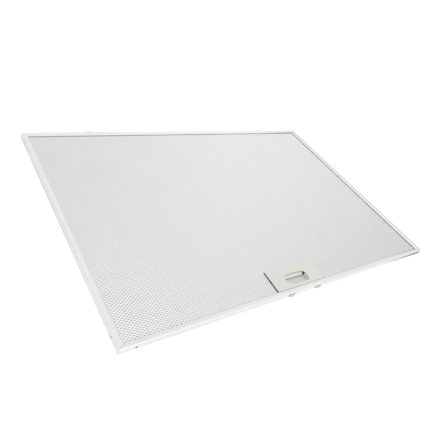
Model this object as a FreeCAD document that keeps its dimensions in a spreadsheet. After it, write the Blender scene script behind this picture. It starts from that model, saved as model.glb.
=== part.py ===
import FreeCAD, Part
import os
import Sketcher
from FreeCAD import Placement, Rotation, Vector

# Cooker hood grease filter, lying with its face up.
# X runs along the handle edge, -Y is the handle side, +Z is the face.
# The origin is on the underside, in the middle between the tips of the tongues and the lugs.
# Sizes are in millimetres.

doc = FreeCAD.newDocument("GreaseFilter")
sheet = doc.addObject("Spreadsheet::Sheet", "Sizes")


class Dim:
    """A length that keeps its number together with the formula it came from."""

    def __init__(self, number, text):
        self.number = float(number)
        self.text = text

    def join(self, other, sign, number):
        other = as_dim(other)
        return Dim(number(self.number, other.number), "(%s %s %s)" % (self.text, sign, other.text))

    def __add__(self, other):
        return self.join(other, "+", lambda a, b: a + b)

    def __sub__(self, other):
        return self.join(other, "-", lambda a, b: a - b)

    def __mul__(self, other):
        return self.join(other, "*", lambda a, b: a * b)

    def __truediv__(self, other):
        return self.join(other, "/", lambda a, b: a / b)

    def __neg__(self):
        return Dim(-self.number, "(-1 * %s)" % self.text)


def as_dim(value):
    return value if isinstance(value, Dim) else Dim(value, repr(float(value)))


def size(alias, value, meaning):
    """Write one driving size into the sheet and hand it back as a Dim."""
    size.row += 1
    sheet.set("A%d" % size.row, meaning)
    sheet.set("B%d" % size.row, str(value))
    sheet.setAlias("B%d" % size.row, alias)
    return Dim(value, "Sizes." + alias)


size.row = 0

# Frame
filter_width = size("filter_width", 480, "length of the handle edge")
filter_depth = size("filter_depth", 320, "length of the side edges")
filter_height = size("filter_height", 8, "height of the frame")
frame_gauge = size("frame_gauge", 0.7, "sheet of the frame channel")
bend_radius = size("bend_radius", 1.4, "outer radius of the folds")
flange_width = size("flange_width", 6.7, "reach of both flanges from the outer wall")
face_drop = size("face_drop", 2.1, "fall of the face flange towards the mesh")
rear_rise = size("rear_rise", 1.0, "rise of the rear flange towards the mesh")
foot_width = size("foot_width", 2.6, "flat strip of the rear flange that the filter lies on")
mitre_gap = size("mitre_gap", 0.16, "joint line of the mitred corners")
stake_bore = size("stake_bore", 2.4, "punched holes near the corners")
stake_inset = size("stake_inset", 16.5, "punched holes from the corner")

# Corner keys
key_leg = size("key_leg", 24, "leg of a corner key")
key_gauge = size("key_gauge", 1.2, "sheet of a corner key")
key_height = size("key_height", 4.2, "height of a corner key")
key_gap = size("key_gap", 0.05, "corner key to frame wall")
key_bore = size("key_bore", 2.8, "hole in a corner key behind the punched hole")

# Mesh pack
pack_gap = size("pack_gap", 0.35, "mesh edges to corner keys and lug plates")
mesh_height = size("mesh_height", 0.7, "height of an expanded sheet")
gap_columns = size("gap_columns", 8, "gaps in the longer rows of an expanded sheet")
gap_rows = size("gap_rows", 14, "rows of gaps in an expanded sheet")
ridge_width = size("ridge_width", 2.2, "ridge between the gaps of an expanded sheet")
flank_share = size("flank_share", 0.35, "part of a gap taken by its sloping flanks")
layer_count = size("layer_count", 4, "crimped layers between the expanded sheets")
layer_gap = size("layer_gap", 0.03, "play between crimped layers")
foil_gauge = size("foil_gauge", 0.16, "foil of a crimped layer")
crimp_length = size("crimp_length", 24, "length of one crimp")

# Latch
latch_offset = size("latch_offset", -12, "latch from the middle of the handle edge")
plate_width = size("plate_width", 76, "latch plate along the edge")
plate_depth = size("plate_depth", 29.1, "latch plate across the edge")
plate_gauge = size("plate_gauge", 1.4, "top of the latch plate above the mesh")
plate_rim = size("plate_rim", 0.6, "thin rim of the latch plate")
plate_gap = size("plate_gap", 0.2, "latch plate to the flange")
plate_round = size("plate_round", 1.5, "corner radius of the latch plate")
edge_bevel = size("edge_bevel", 0.3, "bevel on the upper edges of the latch plate and the recess")
slit_near = size("slit_near", 1.7, "open slit beside the latch plate at the handle edge")
slit_far = size("slit_far", 0.3, "open slit round the far end of the latch plate")
recess_width = size("recess_width", 34.5, "finger recess along the edge")
recess_depth = size("recess_depth", 15.0, "finger recess across the edge")
recess_inset = size("recess_inset", 10.5, "finger recess from the outer wall")
recess_round = size("recess_round", 6.0, "corner radius of the finger recess")
ramp_length = size("ramp_length", 3.6, "hollow slope at the near side of the recess")
ramp_foot = size("ramp_foot", 0.4, "lower end of that slope above the housing's underside")
floor_sink = size("floor_sink", 0.7, "recess floor below the top of the rear cover")
shell_wall = size("shell_wall", 1.2, "outer walls of the latch housing")
inner_wall = size("inner_wall", 1.0, "walls beside the recess")
wall_short = size("wall_short", 3.7, "end of those walls before the far side of the recess")
slide_gap = size("slide_gap", 0.3, "play of the slider in its housing")
arm_width = size("arm_width", 7.0, "slider arms")
finger_room = size("finger_room", 0.6, "finger wall behind the far side of the recess")
bar_depth = size("bar_depth", 2.0, "finger wall of the slider")
slider_round = size("slider_round", 1.5, "corners between the finger wall and the arms")
nose_reach = size("nose_reach", 5.0, "lip that the finger hooks under, from the finger wall")
nose_root = size("nose_root", 0.5, "top of the lip at the finger wall below the top of the slider")
nose_drop = size("nose_drop", 1.35, "middle of the lip's rounded edge below the top of the slider")
nose_lip = size("nose_lip", 0.9, "thickness of the lip at its rounded edge")
nose_side = size("nose_side", 2.0, "ends of the lip from the sides of the recess")
nose_round = size("nose_round", 3.2, "rounded corners of the lip, seen from above")
tongue_width = size("tongue_width", 6.6, "tongues along the edge")
tongue_reach = size("tongue_reach", 2.3, "tongues beyond the outer wall")
tongue_height = size("tongue_height", 2.0, "tongues at the wall")
tongue_fall = size("tongue_fall", 1.0, "fall of a tongue's top towards its tip")
tongue_bevel = size("tongue_bevel", 0.5, "lead-in under the tongue tip")
slot_side = size("slot_side", 1.0, "slot play beside a tongue")
slot_above = size("slot_above", 1.2, "slot play above a tongue")
slot_below = size("slot_below", 0.4, "slot play below a tongue")
latch_travel = size("latch_travel", 3.4, "travel of the slider")
stop_gap = size("stop_gap", 0.05, "slider to its stops")
ear_width = size("ear_width", 6.0, "ears that the springs push on")
ear_depth = size("ear_depth", 2.0, "ears that the springs push on, along the travel")
ear_place = size("ear_place", 18, "front of the ears from the outer wall")
spring_length = size("spring_length", 12.8, "room for a spring at rest")
coil_radius = size("coil_radius", 1.05, "middle radius of a spring")
wire_radius = size("wire_radius", 0.26, "square spring wire, from its middle to a corner")
coil_turns = size("coil_turns", 4, "turns of a spring")
peg_radius = size("peg_radius", 0.55, "peg inside a spring")
peg_length = size("peg_length", 6.0, "length of that peg")
skirt_gap = size("skirt_gap", 0.1, "housing walls to the rear cover and the rear flange")
cover_gauge = size("cover_gauge", 1.3, "rear cover of the latch")
cover_lap = size("cover_lap", 3.0, "rear cover under the mesh pack round its opening")
cover_round = size("cover_round", 3.0, "corner radius of the rear cover")

# Rear lugs
lug_inset = size("lug_inset", 85.8, "middle of a lug from the side edge")
lug_width = size("lug_width", 13, "lug along the edge")
lug_reach = size("lug_reach", 5.4, "lug beyond the outer wall")
lug_low = size("lug_low", 2.4, "underside of a lug")
lug_high = size("lug_high", 6.3, "top of a lug")
lug_round = size("lug_round", 4.8, "rounded tip of a lug")
lug_play = size("lug_play", 0.3, "slot play around a lug")
lug_plate_width = size("lug_plate_width", 21, "plate that holds a lug inside the channel")

doc.recompute()

# Sizes that follow from the ones above
half_width = filter_width / 2
half_depth = filter_depth / 2
lug_place = half_width - lug_inset
middle_shift = (lug_reach - tongue_reach) / 2
front_wall = -half_depth - middle_shift
back_wall = half_depth - middle_shift
face_level = filter_height - face_drop - frame_gauge
rear_level = rear_rise + frame_gauge
key_inner = frame_gauge + key_gap + key_gauge
pack_inset = key_inner + pack_gap
plate_front = flange_width + plate_gap
plate_back = plate_front + plate_depth
plate_top = face_level + plate_gauge
plate_half = plate_width / 2
rim_level = plate_top - plate_rim
recess_far = recess_inset + recess_depth
recess_half = recess_width / 2
arm_inner = recess_half + inner_wall + slide_gap
arm_outer = arm_inner + arm_width
bar_front = recess_far + finger_room
bar_back = bar_front + bar_depth
slider_low = rear_level + slide_gap
slider_high = face_level - slide_gap
slider_middle = (slider_low + slider_high) / 2
tongue_low = slider_middle - tongue_height / 2
tongue_high = slider_middle + tongue_height / 2
ear_back = ear_place + ear_depth
room_back = ear_back + spring_length
ear_outer = arm_outer + ear_width
room_half = ear_outer + slide_gap * 2
shell_half = room_half + shell_wall
shell_back = room_back + shell_wall
shell_front = frame_gauge + slide_gap
spring_side = arm_outer + ear_width / 2
cutout_near = plate_half + slit_near
cutout_far = plate_half + slit_far
cutout_back = plate_back + slit_far


def origin_plane(body, role):
    return [feature for feature in body.Origin.OriginFeatures if feature.Role == role][0]


def new_body(label):
    body = doc.addObject("PartDesign::Body", label)
    body.Label = label
    return body


def new_sketch(body, name, role, level):
    """A sketch on one of the body's own planes, lifted along the plane's normal."""
    sketch = body.newObject("Sketcher::SketchObject", name)
    sketch.AttachmentSupport = (origin_plane(body, role), [""])
    sketch.MapMode = "FlatFace"
    level = as_dim(level)
    sketch.AttachmentOffset = Placement(Vector(0, 0, level.number), Rotation())
    sketch.setExpression("AttachmentOffset.Base.z", level.text)
    return sketch


def pin(sketch, geometry, point, x, y):
    """Bind one point of the sketch to its two distances from the origin."""
    for kind, value in (("DistanceX", as_dim(x)), ("DistanceY", as_dim(y))):
        index = sketch.addConstraint(Sketcher.Constraint(kind, -1, 1, geometry, point, value.number))
        sketch.setExpression("Constraints[%d]" % index, value.text)


def polygon(sketch, corners):
    """A closed outline of straight sides with every corner bound."""
    first = sketch.GeometryCount
    points = [Vector(as_dim(x).number, as_dim(y).number, 0) for x, y in corners]
    count = len(points)
    for i in range(count):
        sketch.addGeometry(Part.LineSegment(points[i], points[(i + 1) % count]), False)
    for i in range(count):
        sketch.addConstraint(Sketcher.Constraint("Coincident", first + i, 2, first + (i + 1) % count, 1))
    for i in range(count):
        pin(sketch, first + i, 1, corners[i][0], corners[i][1])


def circle(sketch, x, y, radius):
    x, y, radius = as_dim(x), as_dim(y), as_dim(radius)
    drawn = Part.Circle(Vector(x.number, y.number, 0), Vector(0, 0, 1), radius.number)
    index = sketch.addGeometry(drawn, False)
    pin(sketch, index, 3, x, y)
    bound = sketch.addConstraint(Sketcher.Constraint("Radius", index, radius.number))
    sketch.setExpression("Constraints[%d]" % bound, radius.text)


def rectangle(x_low, x_high, y_low, y_high):
    return [(x_low, y_low), (x_high, y_low), (x_high, y_high), (x_low, y_high)]


def feature_of(body, kind, name, sketch, length, both_ways=False):
    feature = body.newObject("PartDesign::" + kind, name)
    feature.Profile = sketch
    length = as_dim(length)
    feature.Length = length.number
    feature.setExpression("Length", length.text)
    if both_ways:
        feature.Midplane = True
    sketch.Visibility = False
    doc.recompute()
    return feature


def block(body, name, corners, low, high):
    """Add an upright prism between two levels."""
    sketch = new_sketch(body, name + "_outline", "XY_Plane", low)
    polygon(sketch, corners)
    return feature_of(body, "Pad", name, sketch, as_dim(high) - low)


def cut_block(body, name, corners, low, high):
    """Take away an upright prism between two levels."""
    sketch = new_sketch(body, name + "_outline", "XY_Plane", high)
    polygon(sketch, corners)
    return feature_of(body, "Pocket", name, sketch, as_dim(high) - low)


def upright_edges(feature, spots):
    """Names of the upright edges that stand at the given points of the plan."""
    names = []
    for number, edge in enumerate(feature.Shape.Edges, 1):
        ends = [vertex.Point for vertex in edge.Vertexes]
        if len(ends) != 2 or abs(ends[0].z - ends[1].z) < 0.01:
            continue
        if (ends[0] - ends[1]).cross(Vector(0, 0, 1)).Length > 0.001:
            continue
        for x, y in spots:
            if abs(ends[0].x - as_dim(x).number) < 0.01 and abs(ends[0].y - as_dim(y).number) < 0.01:
                names.append("Edge%d" % number)
    return names


def round_edges(body, name, base, spots, radius):
    """Round the upright edges of the last feature at the given points."""
    fillet = body.newObject("PartDesign::Fillet", name)
    fillet.Base = (base, upright_edges(base, spots))
    fillet.Radius = radius.number
    fillet.setExpression("Radius", radius.text)
    doc.recompute()
    return fillet


def bevel_edges(body, name, base, level, width):
    """Bevel every edge of the last feature that lies on one level."""
    names = []
    for number, edge in enumerate(base.Shape.Edges, 1):
        box = edge.BoundBox
        if abs(box.ZMin - level.number) < 0.01 and abs(box.ZMax - level.number) < 0.01:
            names.append("Edge%d" % number)
    bevel = body.newObject("PartDesign::Chamfer", name)
    bevel.Base = (base, names)
    bevel.Size = width.number
    bevel.setExpression("Size", width.text)
    doc.recompute()
    return bevel


def place(thing, x, y, z, turn):
    """Put a finished object at its place, turned about the upright axis."""
    x, y, z = as_dim(x), as_dim(y), as_dim(z)
    thing.Placement = Placement(Vector(x.number, y.number, z.number), Rotation(Vector(0, 0, 1), turn))
    thing.setExpression("Placement.Base.x", x.text)
    thing.setExpression("Placement.Base.y", y.text)
    thing.setExpression("Placement.Base.z", z.text)


def curved_outline(sketch, corners, curves):
    """A closed outline with every corner bound. A side in curves is an arc with a radius and a crown."""
    points = [Vector(as_dim(x).number, as_dim(y).number, 0) for x, y in corners]
    count = len(points)
    for i in range(count):
        start, end = points[i], points[(i + 1) % count]
        if i in curves:
            crown = curves[i][1]
            sketch.addGeometry(Part.Arc(start, crown, end), False)
        else:
            sketch.addGeometry(Part.LineSegment(start, end), False)
    # An arc keeps its own sense of turning, so its ends are looked up by position.
    ends = []
    for i in range(count):
        near = (sketch.getPoint(i, 1) - points[i]).Length
        far = (sketch.getPoint(i, 2) - points[i]).Length
        ends.append((1, 2) if near < far else (2, 1))
    for i in range(count):
        following = (i + 1) % count
        joined = Sketcher.Constraint("Coincident", i, ends[i][1], following, ends[following][0])
        sketch.addConstraint(joined)
    for i in range(count):
        pin(sketch, i, ends[i][0], corners[i][0], corners[i][1])
    for i, (radius, crown) in curves.items():
        bound = sketch.addConstraint(Sketcher.Constraint("Radius", i, radius.number))
        sketch.setExpression("Constraints[%d]" % bound, radius.text)


def crown_of(middle, start, end, radius):
    """The point of an arc half way between its ends, on the side that its middle doesn't lie on."""
    centre, first, last = [Vector(as_dim(x).number, as_dim(y).number, 0) for x, y in (middle, start, end)]
    outward = (first + last) * 0.5 - centre
    return centre + outward.normalize() * radius.number


def channel_profile(sketch):
    """Section of the folded channel: wall, two round folds, two flanges that pinch the mesh pack."""
    inner_radius = bend_radius - frame_gauge
    top_fold = filter_height - bend_radius
    corners = [
        (flange_width, filter_height - face_drop),
        (bend_radius, filter_height),
        (0, top_fold),
        (0, bend_radius),
        (bend_radius, 0),
        (bend_radius + foot_width, 0),
        (flange_width, rear_rise),
        (flange_width, rear_level),
        (bend_radius + foot_width, frame_gauge),
        (bend_radius, frame_gauge),
        (frame_gauge, bend_radius),
        (frame_gauge, top_fold),
        (bend_radius, filter_height - frame_gauge),
        (flange_width, face_level),
    ]
    folds = {}
    for side, level, radius in ((1, top_fold, bend_radius), (3, bend_radius, bend_radius),
                                (9, bend_radius, inner_radius), (11, top_fold, inner_radius)):
        crown = crown_of((bend_radius, level), corners[side], corners[side + 1], radius)
        folds[side] = (radius, crown)
    curved_outline(sketch, corners, folds)


def channel(label, length, slots):
    """One side of the frame: outer wall on local y = 0, flanges towards +y, mitred at both ends."""
    body = new_body(label)
    section = new_sketch(body, label + "_section", "YZ_Plane", 0)
    channel_profile(section)
    feature_of(body, "Pad", label + "_fold", section, length, both_ways=True)
    reach = flange_width + 1
    corner = length / 2 - mitre_gap / 2
    for side in (-1, 1):
        name = label + ("_mitre_low" if side < 0 else "_mitre_high")
        outline = [(corner * side, 0), ((corner + 1) * side, 0), ((corner + 1) * side, reach),
                   ((corner - reach) * side, reach)]
        cut_block(body, name, outline, as_dim(-1), filter_height + 1)
    holes = new_sketch(body, label + "_holes", "XZ_Plane", 0)
    for side in (-1, 1):
        circle(holes, (length / 2 - stake_inset) * side, filter_height / 2, stake_bore / 2)
    for x_low, x_high, z_low, z_high in slots:
        polygon(holes, rectangle(x_low, x_high, z_low, z_high))
    feature_of(body, "Pocket", label + "_punch", holes, frame_gauge * 1.5)
    return body


tongue_middle = (arm_inner + arm_outer) / 2
tongue_slots = []
for side in (-1, 1):
    middle = latch_offset + tongue_middle * side
    tongue_slots.append((middle - tongue_width / 2 - slot_side, middle + tongue_width / 2 + slot_side,
                         tongue_low - slot_below, tongue_high + slot_above))

lug_slots = []
for side in (-1, 1):
    middle = lug_place * side
    lug_slots.append((middle - lug_width / 2 - lug_play, middle + lug_width / 2 + lug_play,
                      lug_low - lug_play, lug_high + lug_play))

frame_front = channel("frame_front", filter_width, tongue_slots)
place(frame_front, 0, front_wall, 0, 0)
frame_back = channel("frame_back", filter_width, lug_slots)
place(frame_back, 0, back_wall, 0, 180)
frame_left = channel("frame_left", filter_depth, [])
place(frame_left, -half_width, -middle_shift, 0, -90)
frame_right = channel("frame_right", filter_depth, [])
place(frame_right, half_width, -middle_shift, 0, 90)


def corner_key(label, x, y, turn):
    """Angle piece inside a mitred corner, with a hole behind each punched hole."""
    body = new_body(label)
    outer = frame_gauge + key_gap
    low = filter_height / 2 - key_height / 2
    high = filter_height / 2 + key_height / 2
    outline = [(outer, outer), (key_leg, outer), (key_leg, key_inner), (key_inner, key_inner),
               (key_inner, key_leg), (outer, key_leg)]
    block(body, label + "_angle", outline, low, high)
    across = new_sketch(body, label + "_hole_x", "XZ_Plane", -outer)
    circle(across, stake_inset, filter_height / 2, key_bore / 2)
    feature_of(body, "Pocket", label + "_bore_x", across, key_gauge * 1.5)
    along = new_sketch(body, label + "_hole_y", "YZ_Plane", key_inner)
    circle(along, stake_inset, filter_height / 2, key_bore / 2)
    feature_of(body, "Pocket", label + "_bore_y", along, key_gauge * 1.5)
    place(body, x, y, 0, turn)
    return body


corner_keys = [
    corner_key("corner_key_front_left", -half_width, front_wall, 0),
    corner_key("corner_key_front_right", half_width, front_wall, 90),
    corner_key("corner_key_back_right", half_width, back_wall, 180),
    corner_key("corner_key_back_left", -half_width, back_wall, -90),
]


def number_of(alias):
    return float(sheet.get(alias))


def cutout_plan(near):
    """Opening that the latch stands in, a little wider at the handle edge, from a given line onwards."""
    wide = cutout_near.number
    slim = cutout_far.number
    far = front_wall.number + cutout_back.number
    middle = latch_offset.number
    return [(middle - wide, near), (middle - slim, far), (middle + slim, far), (middle + wide, near)]


def pack_cutout(low, high):
    """A prism that clears the mesh pack round the latch."""
    loop = [Vector(x, y, low - 1) for x, y in cutout_plan(front_wall.number)]
    return face_of(loop).extrude(Vector(0, 0, high - low + 2))


def sheet_outline(level):
    """Edge of the mesh pack, stepped round the latch."""
    x = half_width.number - pack_inset.number
    near = front_wall.number + pack_inset.number
    far = back_wall.number - pack_inset.number
    plan = [(-x, near)] + cutout_plan(near) + [(x, near), (x, far), (-x, far)]
    return [Vector(px, py, level) for px, py in plan]


def gap_centres():
    """Staggered rows of gaps, left out where a gap would meet the latch."""
    columns = int(number_of("gap_columns"))
    rows = int(number_of("gap_rows"))
    wide = filter_width.number - 2 * flange_width.number
    deep = filter_depth.number - 2 * flange_width.number
    step_x = wide / columns
    step_y = deep / (rows + 1)
    reach_x = cutout_near.number + step_x / 2
    reach_y = cutout_back.number + step_y
    for row in range(rows):
        shift = row % 2
        for column in range(columns - shift):
            x = -wide / 2 + step_x * (column + 0.5 + shift / 2)
            y = -deep / 2 + step_y * (row + 1) - middle_shift.number
            if abs(x - latch_offset.number) < reach_x and y - front_wall.number < reach_y:
                continue
            yield x, y, step_x / 2, step_y


def diamond(x, y, long_half, short_half, level):
    return [Vector(x - long_half, y, level), Vector(x, y - short_half, level),
            Vector(x + long_half, y, level), Vector(x, y + short_half, level)]


def face_of(loop, holes=()):
    wires = [Part.makePolygon(points + points[:1]) for points in [loop] + list(holes)]
    return Part.Face(wires) if not holes else Part.makeFace(wires, "Part::FaceMakerBullseye")


def walls_between(lower, upper):
    count = len(lower)
    for i in range(count):
        j = (i + 1) % count
        yield face_of([lower[i], lower[j], upper[j], upper[i]])


def expanded_sheet(low, ridge_up):
    """A sheet of staggered diamond gaps whose sloping flanks meet in ridges on the outer side."""
    high = low + mesh_height.number
    wide, narrow = [], []
    for x, y, long_half, short_half in gap_centres():
        keep = 1 - ridge_width.number / min(long_half, short_half)
        wide.append((x, y, long_half * keep, short_half * keep))
        part = keep * (1 - flank_share.number)
        narrow.append((x, y, long_half * part, short_half * part))
    top, bottom = (wide, narrow) if ridge_up else (narrow, wide)
    upper = [diamond(*gap, high) for gap in top]
    lower = [diamond(*gap, low) for gap in bottom]
    faces = [face_of(sheet_outline(high), upper), face_of(sheet_outline(low), lower)]
    faces.extend(walls_between(sheet_outline(low), sheet_outline(high)))
    for under, over in zip(lower, upper):
        faces.extend(walls_between(under, over))
    solid = Part.Solid(Part.Shell(faces))
    solid.fixTolerance(0.0001)
    return solid if solid.Volume > 0 else solid.reversed()


def crimped_layer(low, high, along_x):
    """A foil folded into low ridges, cut out round the latch."""
    x = half_width.number - pack_inset.number
    y = half_depth.number - pack_inset.number
    run, across = (x, y) if along_x else (y, x)
    count = max(2, int(round(2 * run / number_of("crimp_length"))))
    step = run / count
    foil = number_of("foil_gauge")
    crest = high - low - foil
    line = [(-run + step * i, low + crest * (i % 2)) for i in range(2 * count + 1)]
    edge = line + [(s, z + foil) for s, z in reversed(line)]
    if along_x:
        points = [Vector(s, -across, z) for s, z in edge]
        sweep = Vector(0, 2 * across, 0)
    else:
        points = [Vector(-across, s, z) for s, z in edge]
        sweep = Vector(2 * across, 0, 0)
    foil_sheet = face_of(points).extrude(sweep).translated(Vector(0, -middle_shift.number, 0))
    return foil_sheet.cut(pack_cutout(low, high))


def loose_shape(label, shape):
    """A shape worked out in code from the sheet's sizes."""
    thing = doc.addObject("Part::Feature", label)
    thing.Label = label
    thing.Shape = shape
    thing.Placement = Placement()
    return thing


mesh_top = number_of("filter_height") - number_of("face_drop") - number_of("frame_gauge")
mesh_bottom = number_of("rear_rise") + number_of("frame_gauge")
face_low = mesh_top - number_of("mesh_height")
layer_low = mesh_bottom + number_of("mesh_height")
layers = int(number_of("layer_count"))
layer_room = (face_low - layer_low) / layers

face_mesh = loose_shape("face_mesh", expanded_sheet(face_low, True))
rear_mesh = loose_shape("rear_mesh", expanded_sheet(mesh_bottom, False))
filter_layers = []
for index in range(layers):
    low = layer_low + layer_room * index + number_of("layer_gap") / 2
    high = low + layer_room - number_of("layer_gap")
    shape = crimped_layer(low, high, index % 2 == 0)
    filter_layers.append(loose_shape("filter_layer_%d" % (index + 1), shape))

# Latch housing: plate with a thin rim, skirt, recess, guides and stops.
# Local y = 0 is the outer wall of the frame, for all the latch pieces.
latch_housing = new_body("latch_housing")
skirt_low = rear_level + skirt_gap
plate_plan = rectangle(-plate_half, plate_half, plate_front, plate_back)
window_plan = rectangle(-recess_half, recess_half, recess_inset, recess_far)
plate = block(latch_housing, "plate", plate_plan, rim_level, plate_top)
round_edges(latch_housing, "plate_corners", plate, plate_plan, plate_round)
block(latch_housing, "plate_step", rectangle(-shell_half, shell_half, plate_front, shell_back),
      face_level, rim_level)
block(latch_housing, "skirt", rectangle(-shell_half, shell_half, shell_front, shell_back),
      skirt_low, face_level)
cut_block(latch_housing, "room", rectangle(-room_half, room_half, shell_front + shell_wall, room_back),
          skirt_low, face_level)
beside = recess_half + inner_wall
wall_end = recess_far - wall_short
block(latch_housing, "well", rectangle(-beside, beside, recess_inset - inner_wall, wall_end),
      skirt_low, face_level)
window = cut_block(latch_housing, "window", window_plan, skirt_low, plate_top)
window = round_edges(latch_housing, "window_corners", window, window_plan, recess_round)
bevel_edges(latch_housing, "plate_edges", window, plate_top, edge_bevel)
ramp = new_sketch(latch_housing, "ramp_section", "YZ_Plane", 0)
ramp_low = skirt_low + ramp_foot
ramp_end = recess_inset + ramp_length
ramp_fall = face_level - ramp_low
ramp_radius = (ramp_length * ramp_length + ramp_fall * ramp_fall) / (ramp_fall * 2)
ramp_back = recess_inset - inner_wall / 2
ramp_corners = [(ramp_back, skirt_low), (ramp_end, skirt_low), (ramp_end, ramp_low),
                (recess_inset, face_level), (ramp_back, face_level)]
ramp_crown = crown_of((ramp_end, ramp_low + ramp_radius), ramp_corners[2], ramp_corners[3], ramp_radius)
curved_outline(ramp, ramp_corners, {2: (ramp_radius, ramp_crown)})
feature_of(latch_housing, "Pad", "ramp", ramp, recess_width + inner_wall, both_ways=True)
for side, word in ((-1, "left"), (1, "right")):
    guide = arm_outer + slide_gap
    guide_plan = rectangle(guide * side, (guide + inner_wall) * side,
                           shell_front + shell_wall, ear_place - stop_gap)
    block(latch_housing, "guide_" + word, guide_plan, skirt_low, face_level)
    rib = (recess_half * side) / 2
    block(latch_housing, "stop_" + word,
          rectangle(rib - inner_wall, rib + inner_wall, bar_back + latch_travel + stop_gap, room_back),
          skirt_low, face_level)
    block(latch_housing, "brace_" + word,
          rectangle(rib - inner_wall, rib + inner_wall, shell_front + shell_wall, recess_inset - inner_wall),
          skirt_low, face_level)
    way_out = tongue_middle * side
    cut_block(latch_housing, "way_out_" + word,
              rectangle(way_out - tongue_width / 2 - slot_side, way_out + tongue_width / 2 + slot_side,
                        shell_front, shell_front + shell_wall),
              skirt_low, face_level)
pegs = new_sketch(latch_housing, "peg_section", "XZ_Plane", -room_back)
for side in (-1, 1):
    circle(pegs, spring_side * side, slider_middle, peg_radius)
feature_of(latch_housing, "Pad", "pegs", pegs, peg_length)
place(latch_housing, latch_offset, front_wall, 0, 0)

# Latch slider: one bow of finger wall, arms and spring ears, a lip for the finger, two tapered tongues.
latch_slider = new_body("latch_slider")
shoulder = shell_front + shell_wall + stop_gap
bow_half = [(arm_inner, bar_front), (arm_inner, shoulder), (arm_outer, shoulder), (arm_outer, ear_place),
            (ear_outer, ear_place), (ear_outer, ear_back), (arm_outer, ear_back), (arm_outer, bar_back)]
bow_plan = bow_half + [(-x, y) for x, y in reversed(bow_half)]
bow = block(latch_slider, "bow", bow_plan, slider_low, slider_high)
bow_corners = [bow_half[0], bow_half[-1], bow_plan[8], bow_plan[-1]]
round_edges(latch_slider, "bow_corners", bow, bow_corners, slider_round)
lip = new_sketch(latch_slider, "lip_section", "YZ_Plane", 0)
lip_tip = bar_front - nose_reach
lip_middle = slider_high - nose_drop
lip_radius = nose_lip * 0.56
lip_corners = [(bar_front, slider_high - nose_root), (lip_tip + nose_lip / 3, lip_middle + nose_lip / 2),
               (lip_tip + nose_lip / 3, lip_middle - nose_lip / 2), (bar_front, lip_middle - nose_lip / 2)]
lip_crown = Vector(lip_tip.number, lip_middle.number, 0)
curved_outline(lip, lip_corners, {1: (lip_radius, lip_crown)})
feature_of(latch_slider, "Pad", "lip", lip, recess_width - nose_side * 2, both_ways=True)
lip_half = recess_half - nose_side
for side, word in ((-1, "left"), (1, "right")):
    corner = new_sketch(latch_slider, "lip_corner_outline_" + word, "XY_Plane", slider_high)
    round_middle = ((lip_half - nose_round) * side, lip_tip + nose_round)
    past_side = (lip_half + slide_gap) * side
    past_tip = lip_tip - slide_gap
    corner_plan = [(round_middle[0], past_tip), (past_side, past_tip), (past_side, round_middle[1]),
                   (lip_half * side, round_middle[1]), (round_middle[0], lip_tip)]
    corner_crown = crown_of(round_middle, corner_plan[3], corner_plan[4], nose_round)
    curved_outline(corner, corner_plan, {3: (nose_round, corner_crown)})
    feature_of(latch_slider, "Pocket", "lip_corner_" + word, corner, slider_high - slider_low)
    tongue = new_sketch(latch_slider, "tongue_section_" + word, "YZ_Plane", tongue_middle * side)
    polygon(tongue, [(shoulder, tongue_low), (-tongue_reach + tongue_bevel * 1.5, tongue_low),
                     (-tongue_reach, tongue_low + tongue_bevel), (-tongue_reach, tongue_high - tongue_fall),
                     (shoulder, tongue_high)])
    feature_of(latch_slider, "Pad", "tongue_" + word, tongue, tongue_width, both_ways=True)
place(latch_slider, latch_offset, front_wall, 0, 0)

# Rear cover: a plate under the mesh pack, with the recess floor sunk into it.
latch_rear_cover = new_body("latch_rear_cover")
cover_half = cutout_near + cover_lap
cover_back = cutout_back + cover_lap
cover_low = rear_level - cover_gauge
cover_plan = rectangle(-cover_half, cover_half, plate_front, cover_back)
cover = block(latch_rear_cover, "cover_plate", cover_plan, cover_low, rear_level)
round_edges(latch_rear_cover, "cover_corners", cover, cover_plan, cover_round)
cut_block(latch_rear_cover, "recess_floor",
          rectangle(-recess_half, recess_half, ramp_end, bar_back + latch_travel),
          rear_level - floor_sink, rear_level)
place(latch_rear_cover, latch_offset, front_wall, 0, 0)


def spring(label, side):
    """A coil of square wire between the slider's ear and the back wall of the housing."""
    rise = spring_length - wire_radius * 2 - stop_gap * 2
    coil = doc.addObject("Part::Helix", label + "_path")
    coil.setExpression("Radius", coil_radius.text)
    coil.setExpression("Height", rise.text)
    coil.setExpression("Pitch", (rise / coil_turns).text)
    wire = doc.addObject("Part::RegularPolygon", label + "_wire")
    wire.Polygon = 4
    wire.setExpression("Circumradius", wire_radius.text)
    wire.Placement = Placement(Vector(coil_radius.number, 0, 0), Rotation(Vector(1, 0, 0), 90))
    wire.setExpression("Placement.Base.x", coil_radius.text)
    doc.recompute()
    sweep = doc.addObject("Part::Sweep", label)
    sweep.Label = label
    sweep.Sections = [wire]
    sweep.Spine = (coil, ["Edge%d" % (i + 1) for i in range(len(coil.Shape.Edges))])
    sweep.Solid = True
    sweep.Frenet = True
    x = latch_offset + spring_side * side
    y = front_wall + ear_back + wire_radius + stop_gap
    turn = Rotation(Vector(1, 0, 0), -90)
    sweep.Placement = Placement(Vector(x.number, y.number, slider_middle.number), turn)
    sweep.setExpression("Placement.Base.x", x.text)
    sweep.setExpression("Placement.Base.y", y.text)
    sweep.setExpression("Placement.Base.z", slider_middle.text)
    doc.recompute()
    return sweep


latch_springs = [spring("latch_spring_left", -1), spring("latch_spring_right", 1)]


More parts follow.
